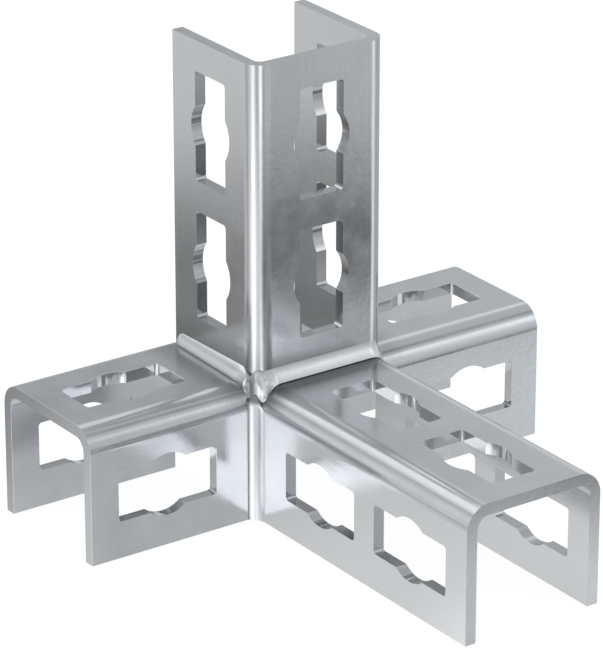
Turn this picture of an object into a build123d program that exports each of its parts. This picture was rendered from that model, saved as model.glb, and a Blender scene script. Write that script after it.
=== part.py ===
from build123d import *
import os

# A welded corner connector for strut framing: four slotted U channels of folded sheet.
# Lengths are in millimetres. The origin is the work point, where the centre lines of the
# struts held by the three level arms meet. The front arm runs along +X, the side arms run
# along -Y and +Y, and the upright stands up along +Z with its open side to the back.

# Folded sheet
sheet = 4.0
inside_width = 43.8
inside_depth = 42.5
arm_bend_inside = 4.2
upright_bend_inside = 2.6

# Channel lengths
long_channel = 112.7
short_channel = 63.5

# Punched slots, each a rectangle with a round bulge at its middle
slot_length = 37.5
slot_width = 17.0
slot_corner = 1.2
slot_bulge = 21.7
slot_pitch = 48.0
slot_from_mouth = 29.2
long_channel_slots = 2
short_channel_slots = 1

# Weld beads: rise up the upright, run out over the arms, crown of the face, extra run at the
# bottom of the notches, and distance from the bead's round end to the upright's free edges
weld_rise = 4.8
weld_run = 4.0
weld_crown = 0.55
weld_spread = 1.6
weld_end_gap = 0.4

# Sizes that follow
outside_width = inside_width + 2 * sheet
half_width = outside_width / 2
arm_bend = arm_bend_inside + sheet
upright_bend = upright_bend_inside + sheet
open_edge = -inside_depth / 2
web_top = inside_depth / 2 + sheet
arm_bend_foot = web_top - arm_bend
upright_centre = half_width - web_top
upright_foot = web_top - sheet
upright_back = upright_centre + open_edge

# Mouth of each channel: centred on its strut, +Z out of the mouth and +Y towards the web
left_mouth = Plane(origin=(0, -half_width - short_channel, 0), x_dir=(1, 0, 0), z_dir=(0, -1, 0))
right_mouth = Plane(origin=(0, half_width + short_channel, 0), x_dir=(-1, 0, 0), z_dir=(0, 1, 0))
front_mouth = Plane(origin=(half_width + long_channel, 0, 0), x_dir=(0, 1, 0), z_dir=(1, 0, 0))
upright_mouth = Plane(
    origin=(upright_centre, 0, upright_foot + long_channel), x_dir=(0, -1, 0), z_dir=(0, 0, 1)
)


def folded_channel(mouth, length, bend, slot_count):
    """U channel of bent sheet, with a row of slots in its web and the same row in both flanges."""
    web_face = Plane(mouth.from_local_coords((0, web_top, 0)), x_dir=mouth.z_dir, z_dir=mouth.y_dir)
    side_face = Plane(mouth.from_local_coords((half_width, 0, 0)), x_dir=mouth.z_dir, z_dir=mouth.x_dir)
    slot_places = [(-slot_from_mouth - step * slot_pitch, 0) for step in range(slot_count)]
    with BuildPart() as channel:
        with BuildSketch(mouth):
            with BuildLine():
                FilletPolyline(
                    (-half_width, open_edge),
                    (-half_width, web_top),
                    (half_width, web_top),
                    (half_width, open_edge),
                    radius=bend,
                )
                offset(amount=sheet, side=Side.RIGHT)
            make_face()
        extrude(amount=-length)
        with BuildSketch(web_face):
            with Locations(*slot_places):
                RectangleRounded(slot_length, slot_width, slot_corner)
                Circle(slot_bulge / 2)
        extrude(amount=-sheet, mode=Mode.SUBTRACT)
        with BuildSketch(side_face):
            with Locations(*slot_places):
                RectangleRounded(slot_length, slot_width, slot_corner)
                Circle(slot_bulge / 2)
        extrude(amount=-outside_width, mode=Mode.SUBTRACT)
    return channel


def arm_envelope(mouth, length):
    """Solid bar with an arm's outer shape, carried one sheet thickness into the crossing."""
    with BuildPart() as envelope:
        with BuildSketch(mouth) as outline:
            with Locations((0, web_top)):
                Rectangle(outside_width, web_top - open_edge, align=(Align.CENTER, Align.MAX))
            fillet(outline.vertices().group_by(Axis.Y)[-1], arm_bend)
        extrude(amount=-length - sheet)
    return envelope


# Channels
left_arm = folded_channel(left_mouth, short_channel, arm_bend, short_channel_slots)
right_arm = folded_channel(right_mouth, short_channel, arm_bend, short_channel_slots)
front_arm = folded_channel(front_mouth, long_channel, arm_bend, long_channel_slots)
upright = folded_channel(upright_mouth, long_channel, upright_bend, long_channel_slots)

# Weld round the foot of the upright: over the two side arms and the front arm, and down
# into the notches that the bends leave at the two front corners
weld_start = upright_back + weld_run + weld_end_gap
with BuildPart() as foot_weld:
    with BuildLine(Plane.XY.offset(web_top)) as foot_path:
        FilletPolyline(
            (weld_start, -half_width),
            (half_width, -half_width),
            (half_width, half_width),
            (weld_start, half_width),
            radius=upright_bend,
        )
    with BuildSketch(Plane(foot_path.line @ 0, x_dir=(0, -1, 0), z_dir=(-1, 0, 0))) as bead:
        with BuildLine():
            Polyline(
                (0, weld_rise),
                (0, -arm_bend),
                (weld_run + weld_spread, -arm_bend),
                (weld_run, 0),
            )
            ThreePointArc(
                (weld_run, 0),
                (weld_run / 2 + weld_crown, weld_rise / 2 + weld_crown),
                (0, weld_rise),
            )
        make_face()
    sweep(path=foot_path.wire())
    revolve(bead.sketch, axis=Axis((weld_start, -half_width, 0), (0, 0, 1)), revolution_arc=-90)
    mirror(about=Plane.XZ)
    for mouth, length in (
        (left_mouth, short_channel),
        (right_mouth, short_channel),
        (front_mouth, long_channel),
    ):
        add(arm_envelope(mouth, length).part, mode=Mode.SUBTRACT)


def corner_weld(side):
    """Upright bead in the corner between a side arm and the front arm, side being -1 or +1."""
    bend_axis = (half_width - upright_bend, side * (half_width - upright_bend))
    bead_radius = upright_bend + weld_run + weld_spread
    with BuildPart() as weld:
        with BuildSketch(Plane.XY.offset(open_edge)):
            with Locations(bend_axis):
                Circle(bead_radius)
            with Locations((half_width, side * half_width)):
                Rectangle(
                    bead_radius,
                    bead_radius,
                    align=(Align.MIN, Align.MAX if side < 0 else Align.MIN),
                    mode=Mode.INTERSECT,
                )
        extrude(amount=arm_bend_foot - open_edge)
    return weld


left_corner_weld = corner_weld(-1)
right_corner_weld = corner_weld(1)

# Files
pieces = {
    "front_arm": front_arm,
    "left_arm": left_arm,
    "right_arm": right_arm,
    "upright": upright,
    "foot_weld": foot_weld,
    "left_corner_weld": left_corner_weld,
    "right_corner_weld": right_corner_weld,
}
os.makedirs("parts", exist_ok=True)
for name, piece in pieces.items():
    piece.part.label = name
    export_step(piece.part, f"parts/{name}.step")
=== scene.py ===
import bmesh
import bpy
import math
from mathutils import Matrix, Vector


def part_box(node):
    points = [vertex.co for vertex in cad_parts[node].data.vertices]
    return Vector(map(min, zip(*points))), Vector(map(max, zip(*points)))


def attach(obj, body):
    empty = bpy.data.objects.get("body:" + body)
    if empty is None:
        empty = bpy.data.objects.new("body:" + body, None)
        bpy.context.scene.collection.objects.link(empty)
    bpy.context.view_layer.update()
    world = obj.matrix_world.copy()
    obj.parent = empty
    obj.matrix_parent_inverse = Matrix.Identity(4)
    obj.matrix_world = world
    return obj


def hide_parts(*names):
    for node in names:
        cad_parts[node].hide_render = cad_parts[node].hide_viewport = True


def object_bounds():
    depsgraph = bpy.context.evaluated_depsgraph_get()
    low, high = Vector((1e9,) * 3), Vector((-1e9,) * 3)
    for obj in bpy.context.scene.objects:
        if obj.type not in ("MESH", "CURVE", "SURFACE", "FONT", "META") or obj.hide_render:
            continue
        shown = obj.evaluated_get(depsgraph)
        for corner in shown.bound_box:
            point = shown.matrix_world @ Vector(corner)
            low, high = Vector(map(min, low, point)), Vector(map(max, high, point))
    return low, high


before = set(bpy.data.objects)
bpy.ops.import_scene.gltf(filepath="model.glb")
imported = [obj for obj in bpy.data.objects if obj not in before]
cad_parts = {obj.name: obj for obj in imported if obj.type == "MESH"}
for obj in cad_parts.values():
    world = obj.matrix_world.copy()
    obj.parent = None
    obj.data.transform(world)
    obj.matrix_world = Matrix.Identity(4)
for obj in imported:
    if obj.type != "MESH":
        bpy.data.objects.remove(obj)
cad_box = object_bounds()

# Looks of the strut angle fitting: zinc plating on its four channels, the free form of the weld and
# the studio round it. Lengths are in mm and angles in degrees, where nothing else is said.
MM = 0.001
WELDS = ("foot_weld", "left_corner_weld", "right_corner_weld")


def cad_place(node, corner, axis):
    """Place of a CAD node's lowest (0) or highest (1) corner along X, Y or Z."""
    return round(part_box(node)[corner]["XYZ".index(axis)] / MM, 3)


# Node helpers
class Tree:
    """Short calls to add and join shader nodes in one node tree."""

    def __init__(self, tree):
        self.tree = tree
        tree.nodes.clear()

    def node(self, kind, **settings):
        new = self.tree.nodes.new(kind)
        for key, value in settings.items():
            setattr(new, key, value)
        return new

    def put(self, socket, value):
        """Feed a socket from another one, or set a number or colour on it; None leaves it alone."""
        if isinstance(value, bpy.types.NodeSocket):
            self.tree.links.new(value, socket)
        elif value is not None:
            socket.default_value = value

    def math(self, operation, a, b=None, c=None):
        new = self.node("ShaderNodeMath", operation=operation)
        for socket, value in zip(new.inputs, (a, b, c)):
            self.put(socket, value)
        return new.outputs[0]

    def plus(self, a, b):
        return self.math("ADD", a, b)

    def minus(self, a, b):
        return self.math("SUBTRACT", a, b)

    def times(self, a, b):
        return self.math("MULTIPLY", a, b)

    def split(self, vector):
        """The X, Y and Z outputs of a vector."""
        new = self.node("ShaderNodeSeparateXYZ")
        self.put(new.inputs[0], vector)
        return new.outputs

    def length(self, x, y):
        return self.math("SQRT", self.plus(self.times(x, x), self.times(y, y)))

    def ramp(self, value, from_low, from_high, to_low=0.0, to_high=1.0, smooth=True):
        """A value's place between two limits, brought to two other limits."""
        new = self.node("ShaderNodeMapRange", interpolation_type="SMOOTHSTEP" if smooth else "LINEAR")
        limits = {"From Min": from_low, "From Max": from_high, "To Min": to_low, "To Max": to_high}
        for name, number in limits.items():
            self.put(new.inputs[name], number)
        self.put(new.inputs["Value"], value)
        return new.outputs["Result"]

    def noise(self, vector, scale, detail, roughness):
        new = self.node("ShaderNodeTexNoise")
        self.put(new.inputs["Vector"], vector)
        new.inputs["Scale"].default_value = scale
        new.inputs["Detail"].default_value = detail
        new.inputs["Roughness"].default_value = roughness
        return new.outputs["Fac"]

    def finish(self, kind, shader):
        """End the tree in an output node of this kind."""
        self.put(self.node(kind).inputs["Surface"], shader.outputs[0])


def near(t, value, middle, half, soft, turn=False):
    """1 within half of the middle, 0 outside, with a soft edge; turn is for an angle that wraps."""
    away = t.minus(value, middle)
    if turn:
        away = t.math("WRAP", away, math.pi, -math.pi)
    return t.ramp(t.math("ABSOLUTE", away), half + soft, max(half - soft, 0.0))


def patch(t, azimuth, elevation, box):
    """1 inside a soft-edged patch of directions, 0 outside."""
    az, el, half_az, half_el, soft = (math.radians(v) for v in box[:5])
    return t.times(near(t, azimuth, az, half_az, soft, True), near(t, elevation, el, half_el, soft))


def less(t, mask, depth):
    """1 outside a mask, and less by this depth inside."""
    return t.minus(1.0, t.times(mask, depth))


# Studio light
# Level of the room by elevation
ROOM = ((-90, 0.9), (-30, 0.5), (-10, 0.5), (10, 0.8), (25, 0.59), (45, 0.65), (90, 0.4))
# Soft boxes and dark flags round the object: azimuth and elevation of the middle, half width and
# half height, softness of the edges, and strength. Beside each stands what mirrors it in the main
# view.
SOFT_BOXES = (
    (-75, -15, 10, 25, 3, 0.7),  # stripe on the upright's bend
    (-32, -20, 8, 12, 6, 1.15),  # next stripe on that bend, and the walls of the near corner
    (-95, -20, 10, 20, 4, 0.2),  # start of the upright's bend
    (-145, -22, 22, 10, 5, 0.22),  # walls that face left
    (10, -20, 20, 6, 4, 0.18),  # left arm's front wall and the end of the upright's bend
    (52, -25, 12, 10, 5, 0.6),  # walls and sheared ends that face right
    (-170, 60, 25, 25, 5, 0.5),  # upper half of the front arm's bend
    (-140, 12, 6, 18, 4, 0.35),  # lower half of the front arm's bend
    (44, 27, 6, 10, 6, 0.85),  # stripe on the side arms' bends, and the front arm's top by the weld
    (138, 43, 15, 8, 6, 0.3),  # start of the side arms' bends
    (-80, 37, 10, 10, 4, 0.6),  # small glints on the front arm's bend
)
FLAGS = (
    (0, 13, 27, 12, 10, 0.6),  # foot of the left arm's bend and end of the upright's bend
    (150, 12, 6, 14, 4, 0.35),  # tops of the channels
    (-145, 12, 6, 18, 4, 0.4),  # dark line on the front arm's bend
    (-120, 14, 16, 14, 4, 0.5),  # below that line
    (-38, -5, 14, 6, 4, 0.7),  # foot of the left and front arms' bends
    (100, 28, 18, 14, 5, 0.4),  # a few points of the front arm's top, at its slot
    (60, 52, 9, 6, 6, 0.45),  # dark line on the side arms' bends
)
# Tint of the light, and patches of it with another tint: azimuth and elevation of the middle, half
# width and half height, softness of the edges, and colour
COOL = (0.955, 0.995, 1.02, 1.0)
TINTS = (
    (-146, -10, 42, 50, 12, (0.985, 1.0, 1.0, 1.0)),  # walls that face left
    (-113, -22, 8, 26, 5, (1.0, 0.95, 0.99, 1.0)),  # start of the upright's bend
)
WHITE = (1.0, 1.0, 1.0, 1.0)


def light_studio():
    """World that the metal mirrors as a room with soft boxes and flags, and that the camera sees white."""
    world = bpy.data.worlds.new("studio")
    bpy.context.scene.world = world
    world.use_nodes = True
    t = Tree(world.node_tree)
    direction = t.split(t.node("ShaderNodeTexCoord").outputs["Generated"])
    azimuth = t.math("ARCTAN2", direction["Y"], direction["X"])
    elevation = t.math("ARCSINE", direction["Z"])
    room = t.node("ShaderNodeValToRGB")
    t.put(room.inputs[0], t.ramp(elevation, -math.pi / 2, math.pi / 2, smooth=False))
    while len(room.color_ramp.elements) < len(ROOM):
        room.color_ramp.elements.new(0.5)
    for stop, (angle, shade) in zip(room.color_ramp.elements, ROOM):
        stop.position = (angle + 90) / 180
        stop.color = (shade, shade, shade, 1.0)
    level = room.outputs[0]
    for flag in FLAGS:
        level = t.times(level, less(t, patch(t, azimuth, elevation, flag), flag[5]))
    for box in SOFT_BOXES:
        level = t.plus(level, t.times(patch(t, azimuth, elevation, box), box[5]))
    tint = COOL
    for area in TINTS:
        new = t.node("ShaderNodeMix", data_type="RGBA")
        factor, first, second = new.inputs[0], new.inputs[6], new.inputs[7]
        t.put(factor, patch(t, azimuth, elevation, area))
        t.put(first, tint)
        t.put(second, area[5])
        tint = new.outputs[2]
    studio = t.node("ShaderNodeBackground")
    t.put(studio.inputs["Color"], tint)
    t.put(studio.inputs["Strength"], level)
    white = t.node("ShaderNodeBackground")
    t.put(white.inputs["Color"], WHITE)
    seen = t.node("ShaderNodeMixShader")
    t.put(seen.inputs[0], t.node("ShaderNodeLightPath").outputs["Is Camera Ray"])
    t.put(seen.inputs[1], studio.outputs[0])
    t.put(seen.inputs[2], white.outputs[0])
    t.finish("ShaderNodeOutputWorld", seen)


# Half size of the floor and of the light table, in metres
STAGE_SIZE = 8.0


def stage_plane(name, height):
    """A large square stage plane at this height, in metres, and the node tree of its new material."""
    s = STAGE_SIZE
    corners = [(-s, -s, height), (s, -s, height), (s, s, height), (-s, s, height)]
    mesh = bpy.data.meshes.new(name)
    mesh.from_pydata(corners, [], [(0, 1, 2, 3)])
    plane = bpy.data.objects.new(name, mesh)
    bpy.context.scene.collection.objects.link(plane)
    material = bpy.data.materials.new(name)
    material.use_nodes = True
    mesh.materials.append(material)
    return plane, Tree(material.node_tree)


# Light table
# It lies below the object and is seen only in the metal. It has arcs of shade (azimuth, half angle
# and softness, radius, half width and softness, depth) and pools of light (place in X and Y, radius,
# softness, strength). Beside each stands what mirrors it in the main view.
TABLE_HEIGHT = -70
SHADE_ARCS = (
    (5, 42, 10, 380, 70, 75, 0.78),  # upright's front wall and the front arm's mouth
    (-175, 45, 12, 290, 140, 90, 0.65),  # upright's left flange and the left arm's mouth
)
POOLS = (
    (115, -125, 55, 50, 0.7),  # the two walls of the near corner
    (35, -100, 75, 30, 0.12),  # front arm's left flange, towards its mouth
    (140, -360, 150, 70, 0.6),  # stripe on the upright's bend
    (180, 150, 70, 40, 0.07),  # right arm's front wall
    (275, 90, 40, 30, 0.1),  # front arm's mouth
)
# The kinds of rays that don't see the table
HIDDEN_FROM = ("camera", "diffuse", "transmission", "volume_scatter")


def lay_light_table():
    """Clear plane with shade and light on it, which only the mirror images on the metal show."""
    table, t = stage_plane("light_table", TABLE_HEIGHT * MM)
    for kind in HIDDEN_FROM:
        setattr(table, "visible_" + kind, False)
    place = t.split(t.node("ShaderNodeTexCoord").outputs["Object"])
    x, y = place["X"], place["Y"]
    angle = t.math("ARCTAN2", y, x)
    radius = t.length(x, y)
    clear = 1.0
    for az, half_az, soft_az, r, half_r, soft_r, depth in SHADE_ARCS:
        across = near(t, angle, *(math.radians(v) for v in (az, half_az, soft_az)), True)
        along = near(t, radius, r * MM, half_r * MM, soft_r * MM)
        clear = t.times(less(t, t.times(across, along), depth), clear)
    glow = 0.0
    for pool_x, pool_y, r, soft, strength in POOLS:
        away = t.length(t.minus(x, pool_x * MM), t.minus(y, pool_y * MM))
        inside = t.ramp(away, (r + soft) * MM, (r - soft) * MM)
        glow = t.plus(t.times(inside, strength), glow)
    through = t.node("ShaderNodeBsdfTransparent")
    t.put(through.inputs["Color"], clear)
    light = t.node("ShaderNodeEmission")
    t.put(light.inputs["Strength"], glow)
    both = t.node("ShaderNodeAddShader")
    t.put(both.inputs[0], through.outputs[0])
    t.put(both.inputs[1], light.outputs[0])
    t.finish("ShaderNodeOutputMaterial", both)


# Zinc plating
# Noise in it: scale, detail and roughness
ROLLING = (1800, 2.0, 0.6)  # fine lines along the sheet
CLOUDS = (60, 4.0, 0.6)  # soft cloudy tone
GRAIN = (420, 3.0, 0.65)  # fine grain, in the relief only
SMEARS = (650, 3.0, 0.6)  # uneven streaks on the weld
# Scale of the rolling lines and streaks along their run, as a share of their scale across it
LINE_STRETCH = 0.04
# Shares of the rolling lines and the clouds in the tone, and in the relief, where the grain is added
TONE_SHARES = (0.4, 0.6)
RELIEF_SHARES = (0.7, 0.6)
# Strength of the relief, how much of it the punched faces lose, and its height
RELIEF = 0.1
CUT_RELIEF_LOSS = 0.08
RELIEF_HEIGHT = 0.2
# Limits of the cloud noise between which the roughness goes from its lowest to its highest
CLOUD_LIMITS = (0.3, 0.7)
# The same for the streaks, from dark to light
SMEAR_LIMITS = (0.38, 0.62)
# Colour of the plating as shares of its tone, and the lightest tone
ZINC_COLOUR = (0.99, 1.0, 1.02)
LIGHTEST = 0.97
# Punched faces lie this near to the middle line of their wall. Faces nearer to the channel's mouth
# than this aren't counted as cut. Both have a soft edge.
SLOT_ZONE = (12.5, 13.5)
MOUTH_ZONE = (3, 6)
# How squarely a face has to look along an axis to count as cut, from not at all to wholly
CUT_FACING = (0.25, 0.85)
# How much darker cut faces are, their roughness, and how much lighter their rims are painted, as a painted
# highlight
CUT_DEPTH = 0.16
CUT_ROUGHNESS = 0.10
RIM_HIGHLIGHT_LIFT = 0.8
# Height over which the dark mark beside the weld, partly a tint from the welding and partly painted shade,
# fades at its lower end
TINT_AND_SHADE_FADE = 3


def spot(t, place, x, y, z, share, reach):
    """1 at a point, fading to 0 at its reach; a low share of the height makes a tall spot."""
    flat = t.node("ShaderNodeVectorMath", operation="MULTIPLY")
    t.put(flat.inputs[0], place)
    t.put(flat.inputs[1], (1.0, 1.0, share))
    gap = t.node("ShaderNodeVectorMath", operation="DISTANCE")
    t.put(gap.inputs[0], flat.outputs[0])
    t.put(gap.inputs[1], (x * MM, y * MM, z * share * MM))
    return t.ramp(gap.outputs["Value"], reach * MM, 0.0)


def cut_faces(t, at, axes, mouth):
    """1 on the punched faces of a channel and on its end at the crossing, 0 elsewhere."""
    along, across, web = axes
    facing = t.split(t.node("ShaderNodeNewGeometry").outputs["Normal"])
    cut = t.math("ABSOLUTE", facing[along])
    for axis in (across, web):
        inside = t.ramp(t.math("ABSOLUTE", at[axis]), SLOT_ZONE[1] * MM, SLOT_ZONE[0] * MM)
        cut = t.math("MAXIMUM", cut, t.times(t.math("ABSOLUTE", facing[axis]), inside))
    low, high = (mouth - MOUTH_ZONE[0]) * MM, (mouth - MOUTH_ZONE[1]) * MM
    within = t.ramp(t.math("ABSOLUTE", at[along]), low, high)
    return t.times(t.ramp(cut, *CUT_FACING, smooth=False), within)


def beside_weld(t, at, axis, start, reach, lowest):
    """1 from the weld to a start along an axis, fading to 0 over its reach and below a lowest height."""
    beside = t.ramp(t.math("ABSOLUTE", at[axis]), (start + reach) * MM, start * MM)
    return t.times(beside, t.ramp(at["Z"], (lowest - TINT_AND_SHADE_FADE) * MM, lowest * MM))


def zinc(name, tone, roughness, channel=None, heat_tint_and_shade=None, painted_spots=(), streaks=()):
    """Bright zinc plating on rolled sheet, or on the weld where there is no channel.

    tone and roughness are the lowest and highest. channel is the axes along the channel, across it
    and through its web, and the place of its mouth. heat is a dark mark beside the weld, partly a tint
    from the welding and partly painted shade at the weld's toe: axis, where it starts to fade, over
    what length, lowest height, and depth. marks are soft spots of painted shade and painted
    highlight: place in X, Y and Z, share of the height that counts, reach, and depth, which is below 0
    for a painted highlight. streaks are uneven light and dark, partly texture of the weld and partly
    painted highlights and shade of its folds, with the same six numbers.
    """
    material = bpy.data.materials.new(name)
    material.use_nodes = True
    t = Tree(material.node_tree)
    place = t.node("ShaderNodeTexCoord").outputs["Object"]
    at = t.split(place)
    stretch = [1.0, 1.0, 1.0]
    stretch["XYZ".index(channel[0][0] if channel else "Z")] = LINE_STRETCH
    lines = t.node("ShaderNodeMapping", vector_type="POINT")
    t.put(lines.inputs["Vector"], place)
    t.put(lines.inputs["Scale"], stretch)
    rolled = t.noise(lines.outputs[0], *ROLLING)
    clouds = t.noise(place, *CLOUDS)
    grain = t.noise(place, *GRAIN)
    mottle = t.plus(t.times(rolled, TONE_SHARES[0]), t.times(clouds, TONE_SHARES[1]))
    value = t.ramp(mottle, 0.0, 1.0, *tone, smooth=False)
    rough = t.ramp(clouds, *CLOUD_LIMITS, *roughness)
    relief = RELIEF
    if channel:
        cut = cut_faces(t, at, *channel)
        # Painted highlight: a lighter band in the colour where the punched faces meet the rest of the
        # sheet
        painted_rim_highlight = t.times(t.times(cut, t.minus(1.0, cut)), 4 * RIM_HIGHLIGHT_LIFT)
        value = t.times(value, t.plus(less(t, cut, CUT_DEPTH), painted_rim_highlight))
        rough = t.plus(t.times(rough, t.minus(1.0, cut)), t.times(cut, CUT_ROUGHNESS))
        relief = t.minus(RELIEF, t.times(cut, CUT_RELIEF_LOSS))
    # Darker beside the weld: partly a tint from the welding, partly painted shade at the weld's toe
    if heat_tint_and_shade:
        value = t.times(value, less(t, beside_weld(t, at, *heat_tint_and_shade[:4]), heat_tint_and_shade[4]))
    # Painted shade and painted highlights: the colour is darker or lighter in soft spots
    for *where, depth in painted_spots:
        value = t.times(value, less(t, spot(t, place, *where), depth))
    # Uneven light and dark in the colour: partly texture of the weld, partly painted highlights and shade
    # of its folds
    for *where, depth in streaks:
        uneven = t.ramp(t.noise(lines.outputs[0], *SMEARS), *SMEAR_LIMITS, -depth, depth, smooth=False)
        value = t.times(value, t.plus(t.times(spot(t, place, *where), uneven), 1.0))
    value = t.math("MINIMUM", value, LIGHTEST)
    colour = t.node("ShaderNodeCombineColor")
    for socket, share in zip(colour.inputs, ZINC_COLOUR):
        t.put(socket, t.times(value, share))
    bump = t.node("ShaderNodeBump")
    t.put(bump.inputs["Strength"], relief)
    t.put(bump.inputs["Distance"], RELIEF_HEIGHT * MM)
    height = t.plus(t.times(rolled, RELIEF_SHARES[0]), t.times(clouds, RELIEF_SHARES[1]))
    t.put(bump.inputs["Height"], t.plus(height, grain))
    shader = t.node("ShaderNodeBsdfPrincipled")
    t.put(shader.inputs["Base Color"], colour.outputs[0])
    t.put(shader.inputs["Metallic"], 1.0)
    t.put(shader.inputs["Roughness"], rough)
    t.put(shader.inputs["Normal"], bump.outputs[0])
    t.finish("ShaderNodeOutputMaterial", shader)
    return material


def round_edges(piece, width, segments, angle):
    """Bevel a piece's edges that are sharper than an angle."""
    bevel = piece.modifiers.new("edges", "BEVEL")
    bevel.width = width * MM
    bevel.segments = segments
    bevel.limit_method = "ANGLE"
    bevel.angle_limit = math.radians(angle)
    return bevel


# Channels
# Tone and roughness of their plating, lowest and highest, the rounding of their edges (width,
# segments and least angle), and the weight of large faces in their normals
SHEET_TONE = (0.65, 0.75)
SHEET_ROUGHNESS = (0.14, 0.22)
SHEET_EDGES = (0.12, 2, 30)
SHEET_WEIGHT = 100
# Points nearer than this are joined, and faces within this angle made one, before the rounding
JOIN_GAP = 0.001
FLAT_ANGLE = 0.4
# Axes of each channel along it, across it and through its web, corner of its CAD box at its mouth
# (0 lowest, 1 highest), and the dark mark beside the weld, partly a tint from the welding and partly
# painted shade at the weld's toe
CHANNELS = {
    "front_arm": ("XYZ", 1, ("X", 28.6, 14.0, 22.0, 0.72)),
    "left_arm": ("YXZ", 0, ("Y", 28.6, 13.0, 22.0, 0.42)),
    "right_arm": ("YXZ", 1, ("Y", 28.6, 10.0, 22.0, 0.15)),
    "upright": ("ZYX", 1, ("Z", 29.5, 12.0, 22.0, 0.20)),
}


def dress_channel(node, axes, mouth_corner, heat_tint_and_shade):
    """Give a channel of the CAD model its plating and rounded edges."""
    mouth = abs(cad_place(node, mouth_corner, axes[0]))
    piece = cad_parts[node]
    piece.data.materials.clear()
    piece.data.materials.append(zinc(node + "_zinc", SHEET_TONE, SHEET_ROUGHNESS, (axes, mouth), heat_tint_and_shade))
    for polygon in piece.data.polygons:
        polygon.use_smooth = True
    weld = piece.modifiers.new("join", "WELD")
    weld.merge_threshold = JOIN_GAP * MM
    flat = piece.modifiers.new("flat", "DECIMATE")
    flat.decimate_type = "DISSOLVE"
    flat.angle_limit = math.radians(FLAT_ANGLE)
    round_edges(piece, *SHEET_EDGES).miter_outer = "MITER_ARC"
    normals = piece.modifiers.new("normals", "WEIGHTED_NORMAL")
    normals.mode = "FACE_AREA"
    normals.weight = SHEET_WEIGHT
    normals.keep_sharp = False


# Weld
# The upright's outer face, the arms' tops and lower edge, and the outside bends of the sheet
FACE = cad_place("upright", 1, "X")
TOP = cad_place("left_arm", 1, "Z")
BOTTOM = cad_place("left_arm", 0, "Z")
UPRIGHT_BEND = 6.6
ARM_BEND = 8.2
# Section of the beads on the arms' tops: rise and run, height of its lip, crown of its face along
# the web and along the flanges, and steps of that face. Then how far it sinks into the arms, its
# toe that is rolled under, and its back in the metal, as points out from the upright and up.
RISE = 4.8
RUN = 3.0
LIP = 0.45
WEB_CROWN = 0.3
FLANGE_CROWN = 0.55
FACE_STEPS = 12
SINK = 1.4
TOE = ((RUN - 0.6, -0.02), (RUN - 0.25, 0.04), (RUN - 0.08, 0.14))
BACK = ((-0.8, RISE - 0.5), (-0.8, -SINK), (RUN - 1.5, -SINK))
# Rings in a bead's round nose, and the power that makes it blunt
NOSE_RINGS = 8
NOSE_POWER = 0.7
# Bead along the web: its ends and the length of its far nose, how far from its middle it starts to
# change and over what length, how much wider it gets at the near and the far end (below 0 for
# narrower), and how much lower at both
NEAR_END = -22.9
FAR_END = 23.6
WEB_NOSE = 2.4
FLARE_START = 19.0
FLARE_LENGTH = 6.0
NEAR_FLARE = 1.2
FAR_FLARE = -0.6
END_LOSS = 0.6
# Beads along the flanges: their back end and its nose, the front end and its nose by side (-1 left,
# 1 right), how far they follow the arms' bends, and how they grow to full size towards the front
BACK_END = -19.2
BACK_NOSE = 3.0
FRONT_END = {-1: 18.6, 1: 17.5}
FRONT_NOSE = {-1: 0.0, 1: 1.6}
BEND_SHARE = 0.8
GROWTH_START = -21
GROWTH_LENGTH = 38
BACK_WIDTH = 0.62
BACK_HEIGHT = 0.82
# Near end of the left one, which runs down into the notch: points below its face and behind it, how
# far in and down it is moved, its rounding (how far each ring is drawn in, and how short it stays),
# and its end face (height over the arm's top and x there)
NOTCH_TOE = ((2.3, -4.6), (2.6, -4.2), (2.8, -3.0))
NOTCH_BACK = ((-0.8, 4.3), (-0.8, -4.9), (1.2, -4.9))
NOTCH_IN = 0.1
NOTCH_DOWN = 0.2
NOTCH_ROUNDING = ((0.0, 1.1), (0.12, 0.6), (0.4, 0.2), (1.0, 0.0))
NOTCH_END = ((-4.6, 25.0), (-3.0, 24.0), (0.0, 22.6), (1.5, 23.1), (2.9, 23.3), (4.0, 22.2), (4.9, 19.8))
# Upright beads in the front corners, as points of their hollow section: out along the front arm, out
# along the side arm, and the top there
CORNER_BEAD = (
    (4.4, -0.6, 18.3),
    (4.9, 0.0, 18.3),
    (4.3, 0.12, 18.9),
    (3.7, 0.28, 19.5),
    (3.1, 0.5, 20.1),
    (2.5, 0.8, 20.6),
    (2.0, 1.12, 21.0),
    (1.55, 1.5, 21.3),
    (1.15, 1.95, 21.4),
    (0.85, 2.35, 21.4),
    (0.65, 2.7, 21.3),
    (0.5, 3.0, 21.2),
    (0.0, 3.2, 21.1),
    (-0.6, 2.8, 21.0),
    (-0.6, -0.6, 21.0),
)
# Rings of these beads, as shares of their height and size, and how much lower each one's top is
CORNER_RINGS = ((0.0, 1.0), (0.5, 1.0), (0.95, 1.0), (0.985, 0.97), (1.0, 0.88), (1.03, 0.6))
CORNER_LOWER = {-1: 0.0, 1: 3.6}
# Hollow fill deep in the far notch: its ends and nose, where the bend's drop stops, how far it sinks
# and its place in Y, width and height, power of its curve, points of the curve, and its back
FILL_START = 19.6
FILL_END = 26.2
FILL_NOSE = 0.6
FILL_DROP_END = 25.6
FILL_DOWN = 0.3
FILL_PLACE = 25.0
FILL_WIDTH = 1.5
FILL_HEIGHT = 2.6
FILL_POWER = 2.4
FILL_STEPS = 10
FILL_BACK = ((1.2, -SINK), (-1.6, -SINK), (-1.6, 2.6))
# Length of a step along the flange beads, and along the other ones
FLANGE_STEP = 0.8
FINE_STEP = 0.5
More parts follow.
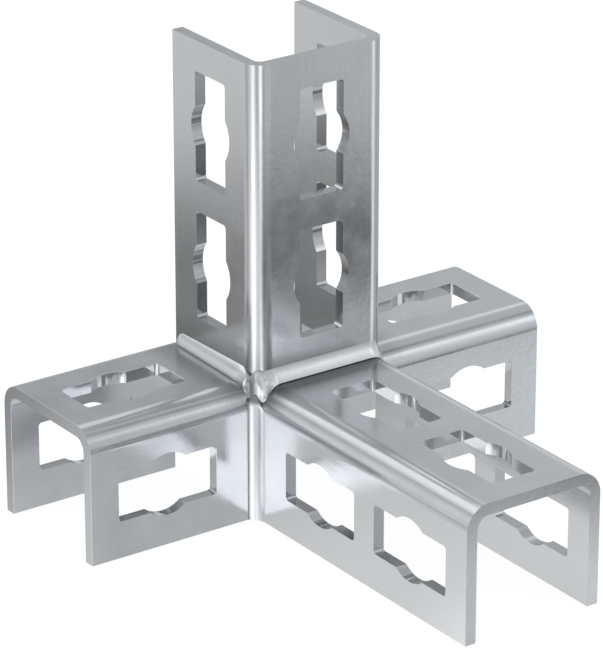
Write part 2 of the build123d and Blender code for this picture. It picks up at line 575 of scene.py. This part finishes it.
# Lump that closes the near corner: points of its hull, cuts across each of the hull's edges, and
# rounds of smoothing
LUMP = (
    (23.7, -26.1, 30.0),
    (24.3, -24.2, 30.4),
    (25.2, -22.3, 29.9),
    (27.7, -22.3, 27.9),
    (28.7, -24.6, 24.8),
    (25.0, -26.5, 26.8),
    (21.5, -26.4, 28.6),
    (22.5, -26.7, 25.5),
    (24.0, -27.2, 21.5),
    (25.3, -27.6, 19.4),
    (30.3, -24.4, 22.4),
    (29.6, -22.3, 24.3),
    (28.8, -20.3, 25.2),
    (23.0, -21.0, 29.7),
    (22.5, -24.0, 18.0),
    (26.5, -20.0, 19.5),
    (28.6, -26.3, 19.3),
    (29.8, -24.2, 20.9),
)
LUMP_CUTS = 3
LUMP_SMOOTHING = 5
# Rounding of the weld's edges (width, segments and least angle), and the weight of large faces in
# its normals
WELD_EDGES = (0.35, 3, 28)
WELD_WEIGHT = 60
# Tone and roughness of its plating, lowest and highest
WELD_TONE = (0.74, 0.84)
WELD_ROUGHNESS = (0.2, 0.26)
# Painted shade and painted highlights on it, as soft spots, as zinc() takes them
WELD_PAINTED_SHADE_AND_HIGHLIGHTS = (
    # painted shade in the valley beside the near end
    (24.2, -27.2, 29.2, 1.0, 2.6, 0.60),
    (25.1, -27.4, 26.7, 1.0, 2.6, 0.60),
    (25.6, -27.6, 24.1, 1.0, 2.8, 0.62),
    (26.5, -27.8, 21.6, 1.0, 2.8, 0.62),
    # painted shade at the toe and on the face of the upright bead in the near corner
    (26.0, -29.1, 0.0, 0.0, 0.75, 0.75),
    (28.1, -26.9, 10.0, 0.03, 1.7, 0.50),
    # painted shade on the bead deep in the notch, left of the valley
    (22.4, -28.6, 24.4, 1.0, 2.2, 0.50),
    (23.8, -28.7, 21.8, 1.0, 2.2, 0.50),
    # painted shade at the far end of the web's bead, and in the far notch
    (26.2, 23.4, 29.0, 1.0, 1.9, 0.65),
    (26.7, 23.4, 26.6, 1.0, 2.0, 0.65),
    (27.2, 23.6, 24.0, 1.0, 2.0, 0.65),
    (25.5, 25.8, 23.0, 1.0, 3.0, 0.50),
    # painted shade at the foot of the lump, dimming a highlight
    (28.4, -25.5, 21.2, 1.0, 2.2, 0.50),
    # painted highlights at the near corner
    (29.6, -21.3, 26.6, 1.0, 1.5, -0.80),
    (26.8, -25.4, 29.8, 1.0, 1.0, -0.50),
    (29.6, -26.2, 18.7, 1.0, 1.2, -0.40),
)
# Streaks near the near corner, partly texture of the weld and partly painted highlights and shade of its
# folds
WELD_STREAKS_AND_PAINTED_LIGHT = ((27.0, -24.5, 25.0, 0.8, 6.5, 0.28),)


def skin(mesh, rings):
    """Close a run of equal rings of points into one solid."""
    loops = [[mesh.verts.new(Vector(point) * MM) for point in ring] for ring in rings]
    for one, two in zip(loops, loops[1:]):
        for k in range(len(one)):
            n = (k + 1) % len(one)
            mesh.faces.new((one[k], one[n], two[n], two[k]))
    mesh.faces.new(loops[0])
    mesh.faces.new(list(reversed(loops[-1])))


def bead_face(crown):
    """Crowned face of a bead's section, from its lip to the top of its rise, as (out, up) points."""
    tilt = math.atan2(RUN, RISE - LIP)
    face = []
    for k in range(FACE_STEPS + 1):
        f = k / FACE_STEPS
        proud = crown * 4 * f * (1 - f)
        out = RUN * (1 - f) + proud * math.cos(tilt)
        face.append((out, LIP + (RISE - LIP) * f + proud * math.sin(tilt)))
    return face


def bead_section(crown):
    """Outline of a weld bead in the corner of two plates: toe, crowned face, and back in the metal."""
    return [*TOE, *bead_face(crown), *BACK]


def stations(start, end, nose_start, nose_end, step):
    """Places along a bead and its section's size there, with a round nose at an end that has one."""
    first, last = start + nose_start, end - nose_end
    count = max(2, round((last - first) / step))
    run = [(first + (last - first) * k / count, 1.0) for k in range(count + 1)]
    turns = [math.pi / 2 * k / (NOSE_RINGS + 1) for k in range(1, NOSE_RINGS + 1)]
    sizes = [math.cos(a) ** NOSE_POWER for a in turns]
    if nose_start:
        nose = [(first - nose_start * math.sin(a), size) for a, size in zip(turns, sizes)]
        run = nose[::-1] + run
    if nose_end:
        run += [(last + nose_end * math.sin(a), size) for a, size in zip(turns, sizes)]
    return run


def drop(away, bend):
    """How far an outer face has fallen away round a bend, at a distance from the middle of its wall."""
    return bend - math.sqrt(max(bend**2 - max(away - (FACE - bend), 0.0) ** 2, 0.0))


def web_bead(mesh):
    """Bead along the upright's web, over the front arm's top and down over its two bends."""
    section = bead_section(WEB_CROWN)
    rings = []
    for along, size in stations(NEAR_END, FAR_END, 0.0, WEB_NOSE, FINE_STEP):
        back = FACE - drop(abs(along), UPRIGHT_BEND)
        base = TOP - drop(abs(along), ARM_BEND)
        past = min(max((abs(along) - FLARE_START) / FLARE_LENGTH, 0.0), 1.0)
        flare = (NEAR_FLARE if along < 0 else FAR_FLARE) * past
        wide = (FACE + RUN + flare - back) / RUN
        high = (TOP + RISE - END_LOSS * past - base) / RISE
        ring = [(back + out * wide * size, along, base + up * high * size) for out, up in section]
        rings.append(ring)
    skin(mesh, rings)


def notch_end_x(height):
    """x of the near end's face at a height over the arm's top."""
    x = NOTCH_END[0][1]
    for (low_z, low_x), (high_z, high_x) in zip(NOTCH_END, NOTCH_END[1:]):
        if height > low_z:
            x = low_x + (high_x - low_x) * min((height - low_z) / (high_z - low_z), 1.0)
    return x


def notch_rings():
    """Rings that carry the left flange's bead down into the near notch and round off its end."""
    rings = []
    for inset, short in NOTCH_ROUNDING:
        ring = []
        for out, up in [*NOTCH_TOE, *bead_face(FLANGE_CROWN), *NOTCH_BACK]:
            y = NOTCH_IN - FACE - out + inset * (1 if out > 1 else 0)
            z = up - NOTCH_DOWN - inset * (1 if up > 0 else -1)
            ring.append((notch_end_x(up) - short, y, TOP + z))
        rings.append(ring)
    return rings


def flange_bead(mesh, side):
    """Bead along one flange of the upright, on the side arm's top, growing towards the front."""
    section = bead_section(FLANGE_CROWN)
    rings = []
    for along, size in stations(BACK_END, FRONT_END[side], BACK_NOSE, FRONT_NOSE[side], FLANGE_STEP):
        base = TOP - drop(along, ARM_BEND) * BEND_SHARE
        back = FACE - drop(along, UPRIGHT_BEND)
        grown = min(max((along - GROWTH_START) / GROWTH_LENGTH, 0.0), 1.0)
        wide = size * (BACK_WIDTH + (1 - BACK_WIDTH) * grown)
        high = size * (BACK_HEIGHT + (1 - BACK_HEIGHT) * grown)
        rings.append([(along, side * (back + out * wide), base + up * high) for out, up in section])
    if side < 0:
        rings += notch_rings()
    skin(mesh, rings)


def corner_bead(mesh, side):
    """Upright bead in the corner of a side arm and the front arm."""
    rings = []
    for share, size in CORNER_RINGS:
        ring = []
        for u, v, top in CORNER_BEAD:
            z = BOTTOM + (top - CORNER_LOWER[side] - BOTTOM) * share
            ring.append((FACE + u * size, side * (FACE + v * size), z))
        rings.append(ring)
    skin(mesh, rings)


def far_notch_fill(mesh):
    """Hollow fill deep in the far notch, on the side arm's bend."""
    steps = [k / FILL_STEPS for k in range(FILL_STEPS + 1)]
    outline = [(FILL_WIDTH * f, FILL_HEIGHT * (1 - f) ** FILL_POWER) for f in steps] + list(FILL_BACK)
    rings = []
    for along, size in stations(FILL_START, FILL_END, 0.0, FILL_NOSE, FINE_STEP):
        base = TOP - drop(min(along, FILL_DROP_END), ARM_BEND) - FILL_DOWN
        rings.append([(along, FILL_PLACE + out * size, base + up * size) for out, up in outline])
    skin(mesh, rings)


def near_lump(mesh):
    """Lump where the near beads meet, a hull with its facets smoothed."""
    points = [mesh.verts.new(Vector(point) * MM) for point in LUMP]
    hull = bmesh.ops.convex_hull(mesh, input=points)
    unused = list(set(hull["geom_interior"] + hull["geom_unused"]))
    bmesh.ops.delete(mesh, geom=unused, context="VERTS")
    edges = [edge for edge in hull["geom"] if isinstance(edge, bmesh.types.BMEdge) and edge.is_valid]
    fine = bmesh.ops.subdivide_edges(mesh, edges=edges, cuts=LUMP_CUTS, use_grid_fill=True)
    verts = {v for edge in edges if edge.is_valid for v in edge.verts}
    verts |= {v for v in fine["geom_inner"] + fine["geom_split"] if isinstance(v, bmesh.types.BMVert)}
    for _ in range(LUMP_SMOOTHING):
        bmesh.ops.smooth_vert(
            mesh, verts=list(verts), factor=0.5, use_axis_x=True, use_axis_y=True, use_axis_z=True
        )


def make_weld():
    """The weld's beads and lump as one piece, in place of the three CAD solids."""
    mesh = bmesh.new()
    web_bead(mesh)
    for side in (-1, 1):
        flange_bead(mesh, side)
        corner_bead(mesh, side)
    far_notch_fill(mesh)
    near_lump(mesh)
    bmesh.ops.recalc_face_normals(mesh, faces=mesh.faces)
    data = bpy.data.meshes.new("weld_beads")
    mesh.to_mesh(data)
    mesh.free()
    weld_beads = bpy.data.objects.new("weld_beads", data)
    bpy.context.scene.collection.objects.link(weld_beads)
    plating = zinc("weld_zinc", WELD_TONE, WELD_ROUGHNESS, painted_spots=WELD_PAINTED_SHADE_AND_HIGHLIGHTS, streaks=WELD_STREAKS_AND_PAINTED_LIGHT)
    data.materials.append(plating)
    data.shade_smooth()
    round_edges(weld_beads, *WELD_EDGES)
    normals = weld_beads.modifiers.new("normals", "WEIGHTED_NORMAL")
    normals.weight = WELD_WEIGHT
    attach(weld_beads, "root")
    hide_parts(*WELDS)


# Floor
# Tone of its paper, its own light, and how much of that light the camera sees in place of the paper
PAPER = (0.8, 0.8, 0.8, 1.0)
FLOOR_GLOW = 1.22
GLOW_SHARE = 0.75


def lay_floor():
    """Plain pale floor under the object."""
    floor, t = stage_plane("floor", cad_box[0].z)
    floor.visible_glossy = False
    floor.visible_shadow = False
    paper = t.node("ShaderNodeBsdfDiffuse")
    t.put(paper.inputs["Color"], PAPER)
    glow = t.node("ShaderNodeEmission")
    t.put(glow.inputs["Color"], WHITE)
    t.put(glow.inputs["Strength"], FLOOR_GLOW)
    mix = t.node("ShaderNodeMixShader")
    t.put(mix.inputs[0], t.times(t.node("ShaderNodeLightPath").outputs["Is Camera Ray"], GLOW_SHARE))
    t.put(mix.inputs[1], paper.outputs[0])
    t.put(mix.inputs[2], glow.outputs[0])
    t.finish("ShaderNodeOutputMaterial", mix)


# Camera
# Direction of the camera, its azimuth from -Y towards +X, then its distance, and how far it stands
# to the right and up, all from the point straight above the work point that is level with the arms'
# tops
CAMERA_AZIMUTH = 54.863
CAMERA_ELEVATION = 22.888
CAMERA_DISTANCE = 1402.706
CAMERA_RIGHT = 8.408
CAMERA_UP = 6.278
# Lens and sensor height, and the nearest place that is drawn, which is in metres
LENS = 235.975
SENSOR = 36.0
CLIP_START = 0.05


def set_camera():
    """Camera at the photo's viewing angle."""
    azimuth, elevation = math.radians(CAMERA_AZIMUTH), math.radians(CAMERA_ELEVATION)
    toward = Vector((
        math.sin(azimuth) * math.cos(elevation),
        -math.cos(azimuth) * math.cos(elevation),
        math.sin(elevation),
    ))
    right = Vector((math.cos(azimuth), math.sin(azimuth), 0.0))
    up = toward.cross(right)
    arms_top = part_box("front_arm")[1].z
    place = toward * CAMERA_DISTANCE * MM + right * CAMERA_RIGHT * MM + up * CAMERA_UP * MM
    place += Vector((0, 0, arms_top))
    data = bpy.data.cameras.new("camera")
    data.sensor_fit = "VERTICAL"
    data.sensor_height = SENSOR
    data.lens = LENS
    data.clip_start = CLIP_START
    camera = bpy.data.objects.new("camera", data)
    bpy.context.scene.collection.objects.link(camera)
    camera.matrix_world = Matrix((
        (right.x, up.x, toward.x, place.x),
        (right.y, up.y, toward.y, place.y),
        (right.z, up.z, toward.z, place.z),
        (0, 0, 0, 1),
    ))
    bpy.context.scene.camera = camera


# The scene, in order
light_studio()
lay_light_table()
for node, looks in CHANNELS.items():
    dress_channel(node, *looks)
make_weld()
lay_floor()
set_camera()
bpy.context.scene.view_settings.view_transform = "Standard"
